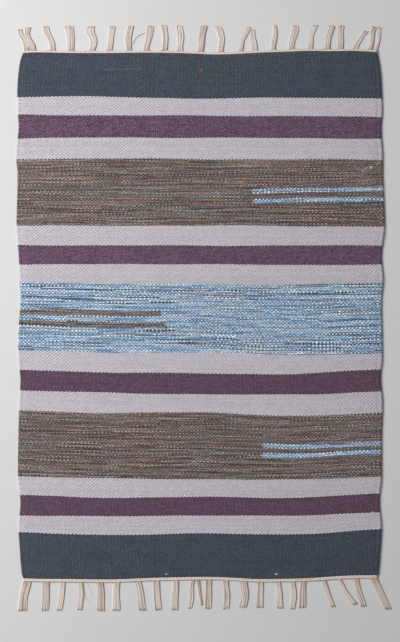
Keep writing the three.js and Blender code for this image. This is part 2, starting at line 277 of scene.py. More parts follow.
# The yarns' patterns: how fine they are, to the metre, how much they lighten and darken, and how
# high the plies are beside the fibres
WEFT_PLIES = 150
WEFT_PLY_SLANT = 0.75
WEFT_PLY_HEIGHT = 0.6
WEFT_FIBRES = (700, 2600, 2600)
WEFT_FIBRE_TONE = 0.20
WEFT_DYE = 42
# Painted shade: a warp yarn is darker in the groove between its plies and lighter on them
WARP_PLY_SHADE = (0.92, 1.03)
WARP_PLY_HEIGHT = 0.5
WARP_FIBRES = 1500
WARP_STAIN = 120
WARP_STAIN_TONE = 0.05

# The fringe's colours: cream, tinted at either end, and rose, painted near the roots and heading as
# their shade, at shares of a strand's length, and as dirt all along some strands, by a beta distribution
CREAM = (241, 232, 226)
ROSE = (180, 152, 136)
FAR_TINT = 1.0
NEAR_TINT = np.array((1.045, 1.035, 1.02))
ROOT_SHADE_PLACES = (0, 0.12, 0.22, 0.4)
ROOT_SHADE = (0.2, 0.6, 0.3, 0)
ROOT_SHADE_SHARE = 0.7
STRAND_DIRT = (0.7, 2.6)
STRAND_TONE = 0.025

# The rows of twined yarn between cloth and tassels at either end: how far out, how high their
# middle lies, half the yarn's thickness, and its colour
Twine = namedtuple("Twine", "offset height radius colour")
FAR_TWINES = [Twine(1.35, 2.1, 1.1, (250, 243, 236)), Twine(3.1, 1.3, 0.55, (232, 208, 196))]
NEAR_TWINES = [Twine(1.1, 2.0, 0.9, (252, 245, 239)), Twine(3.6, 1.8, 1.25, (247, 230, 220))]

# Loose threads in the fringe: half their thickness, their colour and their points
Thread = namedtuple("Thread", "radius colour points")
FAR_THREADS = [
    Thread(0.35, (196, 160, 142), [
        (-110, 447, 0.8), (-109, 452, 1), (-104, 459, 1.2), (-98, 463, 1), (-91, 465.5, 1),
    ]),
]
NEAR_THREADS = [
    Thread(0.18, (222, 212, 204), [
        (-191, -452, 0.5), (-189, -462, 0.6), (-184, -470, 0.5), (-174, -475, 0.6),
    ]),
    Thread(0.15, (222, 212, 204), [(-186, -440, 0.5), (-180, -452, 0.6), (-178, -463, 0.5)]),
]

# Bits of lint, each caught in one float
Speck = namedtuple("Speck", "x y colour")
SPECKS = [Speck(*row) for row in (
    (3, 402.5, (168, 84, 62)), (-62, -424.5, (196, 144, 114)), (125, -425.5, (206, 186, 154)),
    (111, -354.5, (200, 170, 150)), (285, -322.5, (224, 190, 170)),
)]
# A row of paler floats in the far band
SPECKS += [Speck(x, 405.5, (88, 98, 110)) for x in range(-158, -98, 6)]
# In a melange a colour lightens or darkens its shades. A stray end lies across the far brown, and
# the yarns of the inlaid stripes show where they turn back.
STRAY_END = (350, 340, 322)
BLUE_TURN = (350, 360, 366)
SPECKS += [Speck(289 - 4.5 * step, 251 - 2.4 * step, STRAY_END) for step in range(6)]
SPECKS += [Speck(86, 204, BLUE_TURN), Speck(86, 187, BLUE_TURN), Speck(104, -213.5, BLUE_TURN)]
SPECKS += [Speck(-67, 4.5, (330, 322, 316)), Speck(-61.5, -18.5, (150, 138, 140))]

# The tassels, left to right, as the solids have them: where one leaves the heading, where its
# middle and tip lie, how far it reaches out, how wide its locks spread, and their number.
Tassel = namedtuple("Tassel", "root middle tip reach root_spread tip_spread locks")
FAR_TASSELS = [Tassel(*row) for row in (
    (-285.5, -290.5, -294.5, 39, 6.5, 9, 3), (-276, -280, -286, 41, 8, 9.5, 4),
    (-242.5, -247.5, -253, 43, 7.5, 10.5, 5), (-213, -214, -215, 44, 8.5, 14, 6),
    (-179, -176.5, -180.5, 43.5, 7, 14, 5), (-150.5, -148, -143.5, 43.5, 8, 10.5, 5),
    (-117.5, -117, -115, 44, 7.5, 10.5, 5), (-89.5, -86.5, -80.5, 44, 7.5, 11.5, 5),
    (-59, -58, -60, 45, 7.5, 10, 5), (-33, -33.5, -33, 45, 8.5, 9.5, 5),
    (-0.5, 2, 8, 46, 7.5, 12, 5), (33.5, 33, 28.5, 46, 7.5, 9.5, 5),
    (65, 71.5, 77.5, 44, 6.5, 7, 4), (89.5, 88.5, 88, 38, 8, 6.5, 4),
    (120, 121, 121.5, 44, 6.5, 6, 4), (149.5, 152, 156, 42.5, 7, 10.5, 5),
    (180, 184.5, 191, 42, 7, 9, 5), (208.5, 211.5, 217, 41.5, 7, 10, 5),
    (230, 231, 232.5, 42, 7, 10, 5), (255, 260, 276, 32, 6.5, 6.5, 4),
    (279, 283, 286.5, 41, 6.5, 7.5, 4), (289.5, 292.5, 296, 41, 4, 5, 3),
)]
NEAR_TASSELS = [Tassel(*row) for row in (
    (-284.5, -290, -295, 53, 12, 15, 6), (-253.5, -254, -256, 52, 9, 12, 5),
    (-226, -228, -232, 51.5, 7, 8.5, 4), (-197.5, -195.5, -197.5, 50.5, 6.5, 8, 4),
    (-165.5, -163, -163.5, 51.5, 9, 12, 5), (-136.5, -138.5, -139.5, 51, 8, 12, 5),
    (-103, -98, -93.5, 52, 7.5, 10.5, 5), (-72.5, -71, -69, 53, 9, 11.5, 5),
    (-40, -41, -42, 53.5, 7.5, 11.5, 5), (-11.5, -15, -16, 52, 5, 6, 3),
    (-4.5, -1, 3.5, 46, 4.5, 5, 3), (14, 13.5, 13, 52, 8.5, 9, 5), (42, 43, 43.5, 51.5, 8, 10, 5),
    (71.5, 72.5, 71.5, 48, 10.5, 12.5, 6), (98.5, 98.5, 99, 46.5, 9, 10.5, 5),
    (126.5, 130, 132, 48, 7.5, 9.5, 5), (151, 153.5, 151.5, 50, 7, 8, 4),
    (170, 168.5, 167, 48, 7.5, 11.5, 5), (201.5, 209.5, 219.5, 48, 6.5, 6.5, 4),
    (227, 239.5, 256, 46, 5, 5.5, 3), (256, 260.5, 268.5, 51, 7, 8, 4),
    (284, 296, 310, 56, 12.5, 11, 6),
)]


def eased(at, values, place):
    """Values at places between those of a short table, on a smooth curve."""
    order = np.argsort(at)
    at, values = np.asarray(at, float)[order], np.asarray(values, float)[order]
    ahead = np.minimum(np.arange(len(at)) + 1, len(at) - 1)
    behind = np.maximum(np.arange(len(at)) - 1, 0)
    slope = (values[ahead] - values[behind]) / (at[ahead] - at[behind])
    i = np.clip(np.searchsorted(at, place, side="right") - 1, 0, len(at) - 2)
    step = at[i + 1] - at[i]
    t = np.clip((place - at[i]) / step, 0, 1)
    rise = values[i + 1] - values[i]
    a, b = slope[i] * step, slope[i + 1] * step
    return values[i] + a * t + (3 * rise - 2 * a - b) * t**2 + (a + b - 2 * rise) * t**3


def side_x(column, y):
    return eased([row.y for row in SIDES], [getattr(row, column) for row in SIDES], y)


def end_y(outward, x):
    """Where the cloth's far end lies, where outward is 1, or its near one, where it is -1."""
    return eased([row.x for row in ENDS], [row.far if outward > 0 else row.near for row in ENDS], x)


def linear(colour):
    """A plain sRGB colour as linear light."""
    c = np.asarray(colour, float) / 255
    return np.where(c <= 0.04045, c / 12.92, ((c + 0.055) / 1.055) ** 2.4)


# The weave is a lattice laid round the cloth: columns, one for each warp, run across the face from
# its left edge and back across the underside. Warps lie at uneven shares of the way across.
COLUMNS = 2 * WARPS + 2
WARP_PITCH = 2 * CLOTH_HALF_WIDTH / WARPS
WARP_SHARES = np.cumsum(random.normal(1, SPACING_UNEVENNESS, WARPS + 1))
WARP_SHARES = (WARP_SHARES - WARP_SHARES[0]) / (WARP_SHARES[-1] - WARP_SHARES[0])
WARP_SHIFTS = WARP_SHARES - np.linspace(0, 1, WARPS + 1)
BAND_STARTS = np.concatenate([[0], np.cumsum([band.picks for band in BANDS])])
PICKS = int(BAND_STARTS[-1])

# The selvedge's outer cord and the groove beside it, by warps in from the edge: the distance
# in, the height of the face and underside as shares of the thickness, and the lean of the skin.
EDGE_WARPS = (-0.5, 0, 1, 2, 3, 4)
EDGE_IN = (0, 0.2, 1, 2, 3, 4)
FACE_HEIGHT = (0.48, 0.80, 0.97, 0.86, 0.98, 1)
BACK_HEIGHT = (0.48, 0.16, 0, 0, 0, 0)
EDGE_LEAN = (90, 52, 6, 0, 0, 0)


def band_of(pick):
    """The number of the band that each pick lies in."""
    return np.clip(np.searchsorted(BAND_STARTS, pick, side="right") - 1, 0, len(BANDS) - 1)


def pick_line_y(warp, pick):
    """Where a place along a pick lies along the rug."""
    x = (warp / WARPS - 0.5) * 2 * CLOTH_HALF_WIDTH
    inner_edges = [eased(STATIONS, row.near_edge, x) for row in BANDS[:-1]]
    edges = np.stack([end_y(1, x), *inner_edges, end_y(-1, x)])
    band = band_of(pick)
    share = (pick - BAND_STARTS[band]) / np.diff(BAND_STARTS)[band]
    far = np.take_along_axis(edges, band[None], 0)[0]
    near = np.take_along_axis(edges, band[None] + 1, 0)[0]
    bows = np.stack([eased(STATIONS, row.bow, x) for row in BANDS])
    bow = np.take_along_axis(bows, band[None], 0)[0] * 4 * share * (1 - share)
    inside = np.clip(np.minimum(pick, PICKS - pick) / DRIFT_START, 0, 1)
    drift = sum(np.sin(x / row.across + pick * row.by_pick + row.phase) * row.share for row in DRIFTS)
    return far + (near - far) * share + bow + LINE_DRIFT * inside * drift


def ripple(x, y):
    """The low unevenness of the cloth as it lies."""
    swell = np.sin(x / SWELL_ACROSS + SWELL_PHASE) * np.sin(y / SWELL_ALONG)
    slant = np.sin(y / SLANT_ALONG + x / SLANT_ACROSS)
    return RIPPLE_HEIGHT * (swell + slant * SLANT_SHARE)


def skin(column, pick, depth):
    """Points at a depth below the cloth's skin."""
    column = np.mod(column + 0.5, COLUMNS) - 0.5
    face = column <= WARPS + 0.5
    warp = np.where(face, column, 2 * WARPS + 1 - column)
    rightward = np.where(warp > WARPS / 2, 1, -1)
    in_warps = np.minimum(warp, WARPS - warp)
    in_edge = in_warps < EDGE_WARPS[-1]
    from_edge = np.where(in_edge, np.interp(in_warps, EDGE_WARPS, EDGE_IN), in_warps)
    place = np.where(rightward > 0, WARPS - from_edge, from_edge)
    across = place / WARPS + np.interp(place, np.arange(WARPS + 1), WARP_SHIFTS)
    y = pick_line_y(np.clip(warp, 0, WARPS), pick)
    left, right = side_x("left", y), side_x("right", y)
    x = left + (right - left) * across
    from_end = np.minimum(pick, PICKS - pick)
    height = np.interp(in_warps, EDGE_WARPS, FACE_HEIGHT) * np.interp(from_end, END_PICKS, END_THICKNESS)
    calm = np.interp(in_warps, CALM_WARPS, (0, 1)) * np.interp(from_end, CALM_PICKS, (0, 1))
    z_face = CLOTH_THICKNESS * height + ripple(x, y) * calm
    z = np.where(face, z_face, CLOTH_THICKNESS * np.interp(in_warps, EDGE_WARPS, BACK_HEIGHT))
    lean = np.radians(np.interp(in_warps, EDGE_WARPS, EDGE_LEAN))
    flat_back = ~face & (in_warps > 0.5)
    depth = np.where(flat_back, 0, depth)
    x = x - np.sin(lean) * rightward * depth
    z = z - np.cos(lean) * np.where(face, 1, -1) * depth
    return np.stack([x, y, z], -1)


def look_of(pick, column):
    """A column of LOOKS for the band that each pick lies in."""
    return np.array([getattr(LOOKS[band.shade], column) for band in BANDS])[band_of(pick)]


def lattice():
    """The grooves' crossings, on every pick line and column."""
    line, column = np.meshgrid(np.arange(PICKS + 1), np.arange(COLUMNS), indexing="ij")
    odd = (line + column) % 2 == 1
    swing = look_of(line, "zigzag") * random.uniform(*ZIGZAG_SPREAD, line.shape)
    depth = look_of(line, "groove") * random.uniform(*GROOVE_SPREAD, line.shape)
    points = skin(column.astype(float), line + np.where(odd, swing, -swing), depth)
    points[..., 0] += random.normal(0, LATTICE_JITTER, line.shape)
    points[..., 1] += random.normal(0, LATTICE_JITTER, line.shape)
    return points


# A float's twelve corners: where each lies across its yarn, from 0 at the far side to 1, how far it
# is sunk, as a share of the groove's depth, which also sets how much painted shade darkens it, and
# how much more painted shade it takes at an end of the float. Six lie where grooves cross. Six make
# its crown, with their offsets from its middle in warps and picks and how these change with its lean.
Crossing = namedtuple("Crossing", "line column across sunk dip")
RIM = [Crossing(*row) for row in (
    (1, 1, 1, 1, 1), (0, 1, 0, 1, 1), (0, 0, 0, 1, 0), (0, -1, 0, 1, 1), (1, -1, 1, 1, 1), (1, 0, 1, 1, 0),
)]
Crown = namedtuple("Crown", "warps picks lean across sunk dip")
CROWN = [Crown(*row) for row in (
    (0.64, 0, (0, -0.6), 0.5, 0.45, 0.75), (0.30, -0.31, (1, 0), 0.33, 0.10, 0),
    (-0.30, -0.31, (1, 0), 0.33, 0.08, 0), (-0.64, 0, (0, 0.6), 0.5, 0.45, 0.75),
    (-0.30, 0.31, (-1, 0), 0.67, 0.15, 0), (0.30, 0.31, (-1, 0), 0.67, 0.13, 0),
)]
CORNER_WARPS = np.array([corner.column for corner in RIM] + [corner.warps for corner in CROWN])
CORNER_ACROSS, CORNER_SUNK, CORNER_END_SHADE = np.array([corner[-3:] for corner in RIM + CROWN]).T
FACE_FACETS = []
for here, beyond in zip(range(6), (1, 2, 3, 4, 5, 0)):
    FACE_FACETS += [(here, beyond, here + 6), (beyond, beyond + 6, here + 6)]
FACE_FACETS += [(6, 7, 8), (6, 8, 9), (9, 10, 11), (9, 11, 6)]
BACK_FACETS = [(0, 1, 2), (0, 2, 5), (2, 3, 5), (3, 4, 5)]
SINK_OF_PICK = np.abs(random.normal(0, CROWN_UNEVENNESS, PICKS))
# The corners of a band's cut ends count as the middle of a float's far groove, and take its painted shade.
END_CORNERS = (2, 2, 2)


def band_mesh(first, last, crossings):
    """One band's closed mesh between two pick lines: its points, its triangles, and for each
    triangle the pick and column of its float and which of the float's corners it joins."""
    points = [crossings[first:last + 1].reshape(-1, 3)]
    count = points[0].shape[0]
    triangles, owners, joined = [], [], []

    def rim(line, column):
        return (line - first) * COLUMNS + column % COLUMNS

    def add(corners, pick, column, kinds):
        triangles.append(np.stack(corners, 1))
        owners.append(np.stack([0 * column + pick, column], 1))
        joined.append(np.broadcast_to(kinds, (len(column), 3)))

    pick, column = np.meshgrid(np.arange(first, last), np.arange(COLUMNS), indexing="ij")
    centred = (pick + column) % 2 == 0
    pick, column = pick[centred], column[centred]
    face_side = (column <= WARPS + 1) | (column == COLUMNS - 1)
    for fine in (True, False):
        p, c = pick[face_side == fine], column[face_side == fine]
        corners = [rim(p + crossing.line, c + crossing.column) for crossing in RIM]
        if fine:
            sink = random.normal(SINK_OF_PICK[p], CROWN_UNEVENNESS)
            lean = look_of(p, "lean")
            for corner in CROWN:
                place = p + 0.5 + corner.picks + corner.lean[1] * lean
                across = c + corner.warps + corner.lean[0] * lean
                points.append(skin(across, place, corner.sunk * look_of(p, "groove") + sink))
                corners.append(np.arange(count, count + len(p)))
                count += len(p)
        for facet in FACE_FACETS if fine else BACK_FACETS:
            add([corners[i] for i in facet], p, c, facet)
    top = np.arange(WARPS)
    for line, turn, pick_of_end in ((first, 1, first), (last, -1, last - 1)):
        a, b = rim(line, top), rim(line, top + 1)
        c, d = rim(line, COLUMNS - 2 - top), rim(line, COLUMNS - 1 - top)
        for corners in ((a, b, c), (a, c, d)):
            add(corners[::turn], pick_of_end, top, END_CORNERS)
    return [np.concatenate(rows) for rows in (points, triangles, owners, joined)]


def weft_shades():
    """For every pick and column, the colour of its float as linear light, which for a melange is
    a plain tone, and the number of the melange it is woven of."""
    warp = np.arange(COLUMNS)
    warp = np.where(warp <= WARPS, warp, 2 * WARPS + 1 - warp)
    across = (warp / WARPS - 0.5) * 2 * CLOTH_HALF_WIDTH
    melanges, tones = list(MELANGE), np.array(list(MELANGE_TONE.values()))
    colours = np.empty((PICKS, COLUMNS, 3))
    kinds = np.zeros((PICKS, COLUMNS), int)
    picks_of = [slice(*ends) for ends in zip(BAND_STARTS, BAND_STARTS[1:])]
    for band, picks in zip(BANDS, picks_of):
        if band.shade in MELANGE:
            kinds[picks] = melanges.index(band.shade)
    for inlay in INLAYS:
        start = BAND_STARTS[inlay.band - 1] + inlay.first
        inside = (across > inlay.start) & (across < inlay.stop)
        kinds[start:start + inlay.picks, inside] = melanges.index(inlay.shade)
    for band, picks in zip(BANDS, picks_of):
        colours[picks] = PLAIN[band.shade] if band.shade in PLAIN else tones[kinds[picks], None]
    colours *= random.normal(1, PICK_UNEVENNESS, (PICKS, 1, 1))
    colours *= random.normal(1, HUE_UNEVENNESS, (PICKS, COLUMNS, 3))
    for speck in SPECKS:
        column = int(round((speck.x / (2 * CLOTH_HALF_WIDTH) + 0.5) * WARPS))
        lines = pick_line_y(np.full(PICKS, float(column)), np.arange(PICKS) + 0.5)
        pick = int(np.argmin(np.abs(lines - speck.y)))
        column += (pick + column) % 2
        colours[pick, column] = speck.colour
    return linear(colours), kinds


def show(name, data):
    """A new object in the scene."""
    made = bpy.data.objects.new(name, data)
    bpy.context.scene.collection.objects.link(made)
    return made


def triangle_mesh(name, points, triangles):
    """A smooth-shaded object of triangles, given in the tables' millimetres."""
    mesh = bpy.data.meshes.new(name)
    mesh.from_pydata((points + MIDDLE) * MM, [], triangles)
    mesh.update(calc_edges=True)
    mesh.shade_smooth()
    return show(name, mesh)


def fill(layer, name, values):
    """Gives each corner of a piece's triangles its values."""
    layer.data.foreach_set(name, np.asarray(values, np.float32).ravel())


def paint(piece, colours):
    """Gives each corner its colour, painted shade included, as the attribute Yarn."""
    rgba = np.ones((len(piece.data.loops), 4))
    rgba[:, :3] = colours.reshape(-1, 3)
    fill(piece.data.color_attributes.new("Yarn", "FLOAT_COLOR", "CORNER"), "color", rgba)


def corner_map(piece, name, places):
    """A UV map from one place for each corner."""
    fill(piece.data.uv_layers.new(name=name), "uv", places)


class Shades:
    """The nodes of one material."""

    def __init__(self, name):
        self.material = bpy.data.materials.new(name)
        self.material.use_nodes = True
        self.tree = self.material.node_tree
        self.tree.nodes.clear()

    def add(self, kind, inputs=(), **settings):
        """A node. An input is a number, a colour or another node's output."""
        node = self.tree.nodes.new("ShaderNode" + kind)
        for key, value in settings.items():
            setattr(node, key, value)
        for key, value in dict(inputs).items():
            if isinstance(value, bpy.types.NodeSocket):
                self.tree.links.new(value, node.inputs[key])
            else:
                node.inputs[key].default_value = value
        return node

    def spread(self, value, low, high):
        """A value from 0 to 1 spread from low to high."""
        inputs = {"Value": value, "To Min": low, "To Max": high}
        return self.add("MapRange", inputs).outputs["Result"]

    def about_one(self, value, reach):
        """A value from 0 to 1 spread to either side of 1."""
        return self.spread(value, 1 - reach, 1 + reach)

    def vector(self, operation, *values):
        """Arithmetic on colours or vectors."""
        inputs = dict(enumerate(values))
        return self.add("VectorMath", inputs, operation=operation).outputs["Vector"]

    def brighten(self, colour, factor):
        """A colour times a factor."""
        return self.vector("MULTIPLY", colour, factor)

    def figure(self, operation, *values):
        """Arithmetic on numbers."""
        return self.add("Math", dict(enumerate(values)), operation=operation).outputs["Value"]

    def times(self, a, b):
        """Two numbers multiplied."""
        return self.figure("MULTIPLY", a, b)

    def attribute(self, name, output):
        """What the mesh tells of a place."""
        return self.add("Attribute", attribute_name=name).outputs[output]

    def place(self, x, y):
        """A place in a plane."""
        return self.add("CombineXYZ", {"X": x, "Y": y}).outputs["Vector"]

    def dice(self, x, y):
        """A random number from 0 to 1, the same for the same x and y."""
        inputs = {"Vector": self.place(x, y)}
        return self.add("TexWhiteNoise", inputs, noise_dimensions="2D").outputs["Value"]

    def noise(self, place, scale, detail=0, roughness=0.5, dimensions="3D"):
        """A smooth random pattern: its outputs Fac and Color."""
        inputs = {"Vector": place, "Scale": scale, "Detail": detail, "Roughness": roughness}
        return self.add("TexNoise", inputs, noise_dimensions=dimensions).outputs

    def stretched(self, place, scale):
        """A place times a factor for each axis."""
        return self.add("Mapping", {"Vector": place, "Scale": scale}).outputs["Vector"]

    def choose(self, value, colours):
        """One of some plain colours, by a value from 0 to 1."""
        node = self.add("ValToRGB", {"Fac": value})
        ramp = node.color_ramp
        ramp.interpolation = "CONSTANT"
        ramp.elements.remove(ramp.elements[-1])
        for index, colour in enumerate(colours):
            stop = ramp.elements.new(index / len(colours)) if index else ramp.elements[0]
            stop.color = (*linear(colour), 1)
        return node.outputs["Color"]

    def finish(self, colour, height, relief, roughness, fuzz):
        """Ends the material in a dull surface. relief is the bump's depth in metres."""
        bump = self.add("Bump", {"Height": height, "Distance": relief})
        shader = self.add("BsdfPrincipled", {
            "Base Color": colour, "Roughness": roughness, "Specular IOR Level": GLOSS,
            "Sheen Weight": fuzz, "Sheen Roughness": FUZZ_ROUGHNESS, "Normal": bump.outputs["Normal"],
        })
        self.add("OutputMaterial", {"Surface": shader.outputs["BSDF"]})
        return self.material


def shade_of_run(shades, along, across, strand, look, spun):
    """The shade, from 0 to 1, of the run of a strand that a place lies in."""
    origin, opposed = strand, 0
    if spun:
        is_odd = shades.figure("MODULO", shades.figure("FLOOR", across), 2)
        chosen = shades.figure("GREATER_THAN", shades.dice(strand, OPPOSED_SEED), 1 - OPPOSED_SHARE)
        opposed = shades.times(is_odd, chosen)
        origin = shades.figure("SUBTRACT", strand, shades.times(opposed, look.strands))
    runs = shades.figure("DIVIDE", along, RUN_LENGTH)
    wobble = shades.noise(shades.place(runs, origin), WOBBLE_SCALE, dimensions="2D")["Fac"]
    start = shades.times(shades.dice(origin, 0), RUN_STARTS)
    moved = shades.figure("MULTIPLY_ADD", wobble, RUN_WOBBLE, shades.figure("ADD", runs, start))
    own = shades.dice(shades.figure("FLOOR", moved), origin)
    if spun:
        turn = shades.figure("SUBTRACT", 1, shades.times(own, 2))
        own = shades.figure("MULTIPLY_ADD", turn, opposed, own)
    return own


def melange_colour(shades, own, float_number):
    """A strand's shade in the melange that its float is woven of."""
    first, second = (shades.choose(own, colours) for colours in MELANGE.values())
    is_second = shades.figure("GREATER_THAN", float_number, FLOAT_NUMBERS - 0.5)
    mixed = shades.add("Mix", {0: is_second, 6: first, 7: second}, data_type="RGBA")
    return mixed.outputs[2]


def glinting(shades, yarn, light, dye):
    """A plain yarn in its tone and painted shade: where these lighten it, a painted glint makes it greyer
    than its dye.
    """
    pale = tuple(dye.mean() + (dye - dye.mean()) * GLINT_DYE)
    glint = shades.brighten(pale, shades.figure("MAXIMUM", shades.figure("SUBTRACT", light, 1), 0))
    return shades.vector("ADD", shades.brighten(yarn, shades.figure("MINIMUM", light, 1)), glint)


def weft_material(name, look, spun):
    """Weft of a few strands, each with shades of its own. Thread tells where along and across the
    yarn a place is, and its float's number, which is past FLOAT_NUMBERS in the second melange."""
    shades = Shades(name + "_weft")
    place = shades.add("TexCoord").outputs["Object"]
    told = shades.add("SeparateXYZ", {"Vector": shades.attribute("Thread", "Vector")})
    along, across, number = told.outputs
    float_number = shades.figure("ROUND", number)
    strand = shades.figure("FLOOR", shades.times(across, look.strands))
    own = shade_of_run(shades, along, across, strand, look, spun)
    fibres = shades.noise(shades.stretched(place, WEFT_FIBRES), 1, 3)["Fac"]
    width, length = (1 / (MM * size) for size in look.patch)
    grain = shades.noise(shades.stretched(place, (width, length, length)), 1, 1)["Fac"]
    light = shades.times(shades.about_one(own, look.runs),
                         shades.about_one(shades.dice(float_number, strand), look.speckle))
    light = shades.times(light, shades.about_one(grain, 2 * look.grain))
    # Painted shade: darker valleys between the warps' ribs, from warp to warp and from pair to pair of
    # them
    for warps, rib_shade in enumerate((look.rib, look.pairs), start=1):
        if rib_shade:
            wave = shades.figure("COSINE", shades.times(along, 2 * np.pi / (warps * WARP_PITCH)))
            light = shades.times(light, shades.figure("MULTIPLY_ADD", wave, rib_shade, 1))
    light = shades.times(light, shades.about_one(fibres, WEFT_FIBRE_TONE))
    yarn = shades.attribute("Yarn", "Color")
    if spun:
        lit = shades.brighten(shades.brighten(yarn, melange_colour(shades, own, float_number)), light)
    else:
        lit = glinting(shades, yarn, light, linear(PLAIN[name]))
    dye = shades.noise(place, WEFT_DYE, 5, 0.7)
    dyed = shades.brighten(lit, shades.about_one(dye["Fac"], look.mottle))
    hue = shades.vector("MULTIPLY_ADD", dye["Color"], (2 * look.hue,) * 3, (1 - look.hue,) * 3)
    slanted = shades.add("Mapping", {"Vector": place, "Rotation": (0, 0, WEFT_PLY_SLANT)})
    plies = shades.add("TexWave", {
        "Vector": slanted.outputs["Vector"], "Scale": WEFT_PLIES,
        "Distortion": 2.5, "Detail": 2, "Detail Scale": 1.5,
    }).outputs["Fac"]
    height = shades.figure("ADD", shades.spread(plies, 0, WEFT_PLY_HEIGHT), fibres)
    return shades.finish(shades.brighten(dyed, hue), height, WEFT_RELIEF, WEFT_ROUGHNESS, FUZZ)


def yarn_material(name):
    """Loose warp yarn: two plies that wind round it, by the UV map Twist, with painted shade between them.
    """
    shades = Shades(name)
    place = shades.add("TexCoord").outputs["Object"]
    twist = shades.add("UVMap", uv_map="Twist").outputs["UV"]
    turns = shades.add("SeparateXYZ", {"Vector": twist}).outputs["X"]
    plies = shades.figure("SINE", turns)
    fibres = shades.noise(place, WARP_FIBRES, 3)["Fac"]
    stain = shades.noise(place, WARP_STAIN, 3)["Fac"]
    # Painted shade in the groove between the plies
    darker = shades.brighten(shades.attribute("Yarn", "Color"), shades.spread(plies, *WARP_PLY_SHADE))
    dyed = shades.brighten(darker, shades.about_one(stain, WARP_STAIN_TONE))
    height = shades.figure("ADD", shades.spread(plies, 0, WARP_PLY_HEIGHT), fibres)
    return shades.finish(dyed, height, WARP_RELIEF, WARP_ROUGHNESS, FUZZ)


WEFT_FINISH = {shade: weft_material(shade, look, shade in MELANGE) for shade, look in LOOKS.items()}
WARP_FINISH = yarn_material("warp_yarn")

# The flat layouts for baking: where a band's face, underside and cut ends start down its layout
# and how far they reach, and the margins at its sides and beside a yarn's strip
LAYOUT_MARGIN = 0.01
FACE_START, FACE_REACH = 0.02, 0.45
BACK_START, BACK_REACH = 0.53, 0.45
END_START, END_REACH = 0.49, 0.005
STRIP_MARGIN = 0.1


def planar_places(points, triangles, on_face):
    """A flat layout for a band: its face in the lower half, its underside in the upper one."""
    corners = points[triangles]
    across, along, _ = np.moveaxis((corners - points.min(0)) / np.ptp(points, axis=0), -1, 0)
    normal = np.cross(corners[:, 1] - corners[:, 0], corners[:, 2] - corners[:, 0])
    is_end = (np.abs(normal[:, 1]) > 3 * np.abs(normal[:, 2]))[:, None]
    down = np.where(on_face[:, None], FACE_START + FACE_REACH * along, BACK_START + BACK_REACH * along)
    down = np.where(is_end, END_START + END_REACH * corners[..., 2], down)
    return np.stack([LAYOUT_MARGIN + (1 - 2 * LAYOUT_MARGIN) * across, down], -1).reshape(-1, 2)


def weave_bands():
    """The cloth, one closed mesh of floats for each band."""
    crossings = lattice()
    colours, kinds = weft_shades()
    numbers = random.integers(0, FLOAT_NUMBERS, kinds.shape) + FLOAT_NUMBERS * kinds
    pieces = []
    for index, band in enumerate(BANDS):
        look = LOOKS[band.shade]
        first, last = int(BAND_STARTS[index]), int(BAND_STARTS[index + 1])
        points, triangles, owners, joined = band_mesh(first, last, crossings)
        piece = triangle_mesh(f"band_{index + 1:02d}_{band.shade}", points, triangles)
        rim_count = (last - first + 1) * COLUMNS
        edges = np.empty(len(piece.data.edges) * 2, int)
        piece.data.edges.foreach_get("vertices", edges)
        groove = (edges.reshape(-1, 2) < rim_count).all(1)
        sharp = piece.data.attributes.new("sharp_edge", "BOOLEAN", "EDGE")
        sharp.data.foreach_set("value", groove)
        pick, column = owners.T
        # Painted shade: a corner is painted lightest on a float's crown and darker the deeper it is sunk
        # in a groove and at the float's ends
        tone = PAINTED_CROWN_LIGHT - look.shadow * CORNER_SUNK[joined] - look.dip * CORNER_END_SHADE[joined]
        paint(piece, colours[pick, column][:, None] * tone[..., None])
        along = (column[:, None] + CORNER_WARPS[joined]) * WARP_PITCH
        across = pick[:, None] + PICK_MARGIN + (1 - 2 * PICK_MARGIN) * CORNER_ACROSS[joined]
        number = np.broadcast_to(numbers[pick, column][:, None], across.shape)
        thread = piece.data.attributes.new("Thread", "FLOAT_VECTOR", "CORNER")
        fill(thread, "vector", np.stack([along, across, number], -1))
        corner_map(piece, "OFBake", planar_places(points, triangles, column <= WARPS))
        piece.data.materials.append(WEFT_FINISH[band.shade])
        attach(piece, "root")
        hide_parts("rug")
        pieces.append(piece)
    return pieces


def curve(a, b, c, d, t):
    """Points on the smooth curve through a, b, c and d, between b and c."""
    return b + 0.5 * t * (c - a + t * (2 * a - 5 * b + 4 * c - d + t * (3 * (b - c) + d - a)))


def length_along(path):
    """How far along a path each of its points is."""
    return np.concatenate([[0], np.cumsum(np.linalg.norm(np.diff(path, axis=0), axis=1))])


def spline(points):
    """Evenly spaced points on a smooth curve through a few."""
    points = np.asarray(points, float)
    ends = [2 * points[0] - points[1], *points, 2 * points[-1] - points[-2]]
    t = np.arange(SPLINE_STEPS)[:, None] / SPLINE_STEPS
    fine = [curve(a, b, c, d, t) for a, b, c, d in zip(ends, ends[1:], ends[2:], ends[3:])]
    fine = np.concatenate([*fine, points[-1:]])
    run = length_along(fine)
    even = np.linspace(0, run[-1], STRAND_STEPS)
    return np.stack([np.interp(even, run, fine[:, i]) for i in range(3)], 1)


